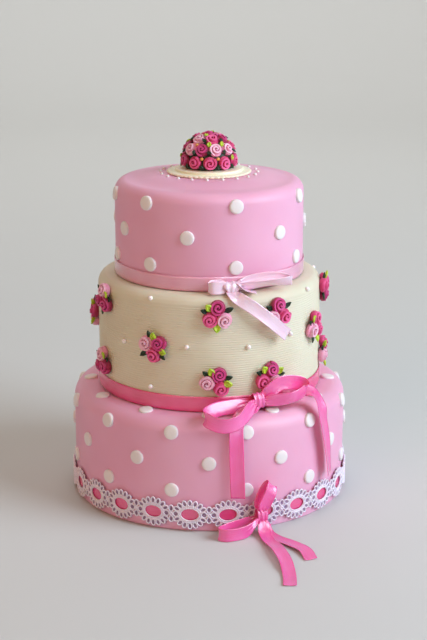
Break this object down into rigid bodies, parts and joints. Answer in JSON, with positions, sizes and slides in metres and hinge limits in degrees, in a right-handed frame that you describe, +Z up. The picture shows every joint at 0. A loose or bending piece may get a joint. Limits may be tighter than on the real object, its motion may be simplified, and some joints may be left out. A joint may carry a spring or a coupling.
{
  "type": "tiered wedding cake",
  "caption": "Round tiered wedding cake in pink and cream sugarpaste, with polka dots, sugar roses, satin ribbon bows, a lace trim and a dome of roses on top.",
  "frame": {"origin": "middle of the flat underside of the bottom tier, on the surface that the cake stands on", "axes": "+Z up along the axis of the tiers, -Y towards the front of the cake, +X to the right of someone who faces it"},
  "size_m": [0.2402, 0.3406, 0.3113],
  "materials": {
    "pink_sugarpaste": "soft pearly sugarpaste with raised white dots",
    "cream_sugarpaste": "fine level ribs in sugarpaste with small pearls",
    "plaque_icing": "smooth satin icing",
    "sugar_roses": "matt flower paste in magenta, mid pink and pale pink, with lime and dark green leaves",
    "pale_satin": "pale pink satin ribbon",
    "hot_pink_satin": "hot pink satin ribbon",
    "white_lace": "white cotton lace"
  },
  "bodies": {
    "root": {"bottom_tier": "pink_sugarpaste", "middle_tier": "cream_sugarpaste", "top_tier": "pink_sugarpaste", "plaque": "plaque_icing", "rose_dome": "sugar_roses", "rose_cluster_01": "sugar_roses", "rose_cluster_02": "sugar_roses", "rose_cluster_03": "sugar_roses", "rose_cluster_04": "sugar_roses", "rose_cluster_05": "sugar_roses", "rose_cluster_06": "sugar_roses", "rose_cluster_07": "sugar_roses", "rose_cluster_08": "sugar_roses", "rose_cluster_09": "sugar_roses", "rose_cluster_10": "sugar_roses", "rose_cluster_11": "sugar_roses", "rose_cluster_12": "sugar_roses", "rose_cluster_13": "sugar_roses", "rose_cluster_14": "sugar_roses", "rose_cluster_15": "sugar_roses", "rose_cluster_16": "sugar_roses", "rose_cluster_17": "sugar_roses", "top_ribbon": "pale_satin", "middle_ribbon": "hot_pink_satin", "lace_ribbon": "hot_pink_satin", "lace_trim": "white_lace", "top_bow": "pale_satin", "middle_bow": "hot_pink_satin", "low_bow": "hot_pink_satin"}
  },
  "joints": []
}
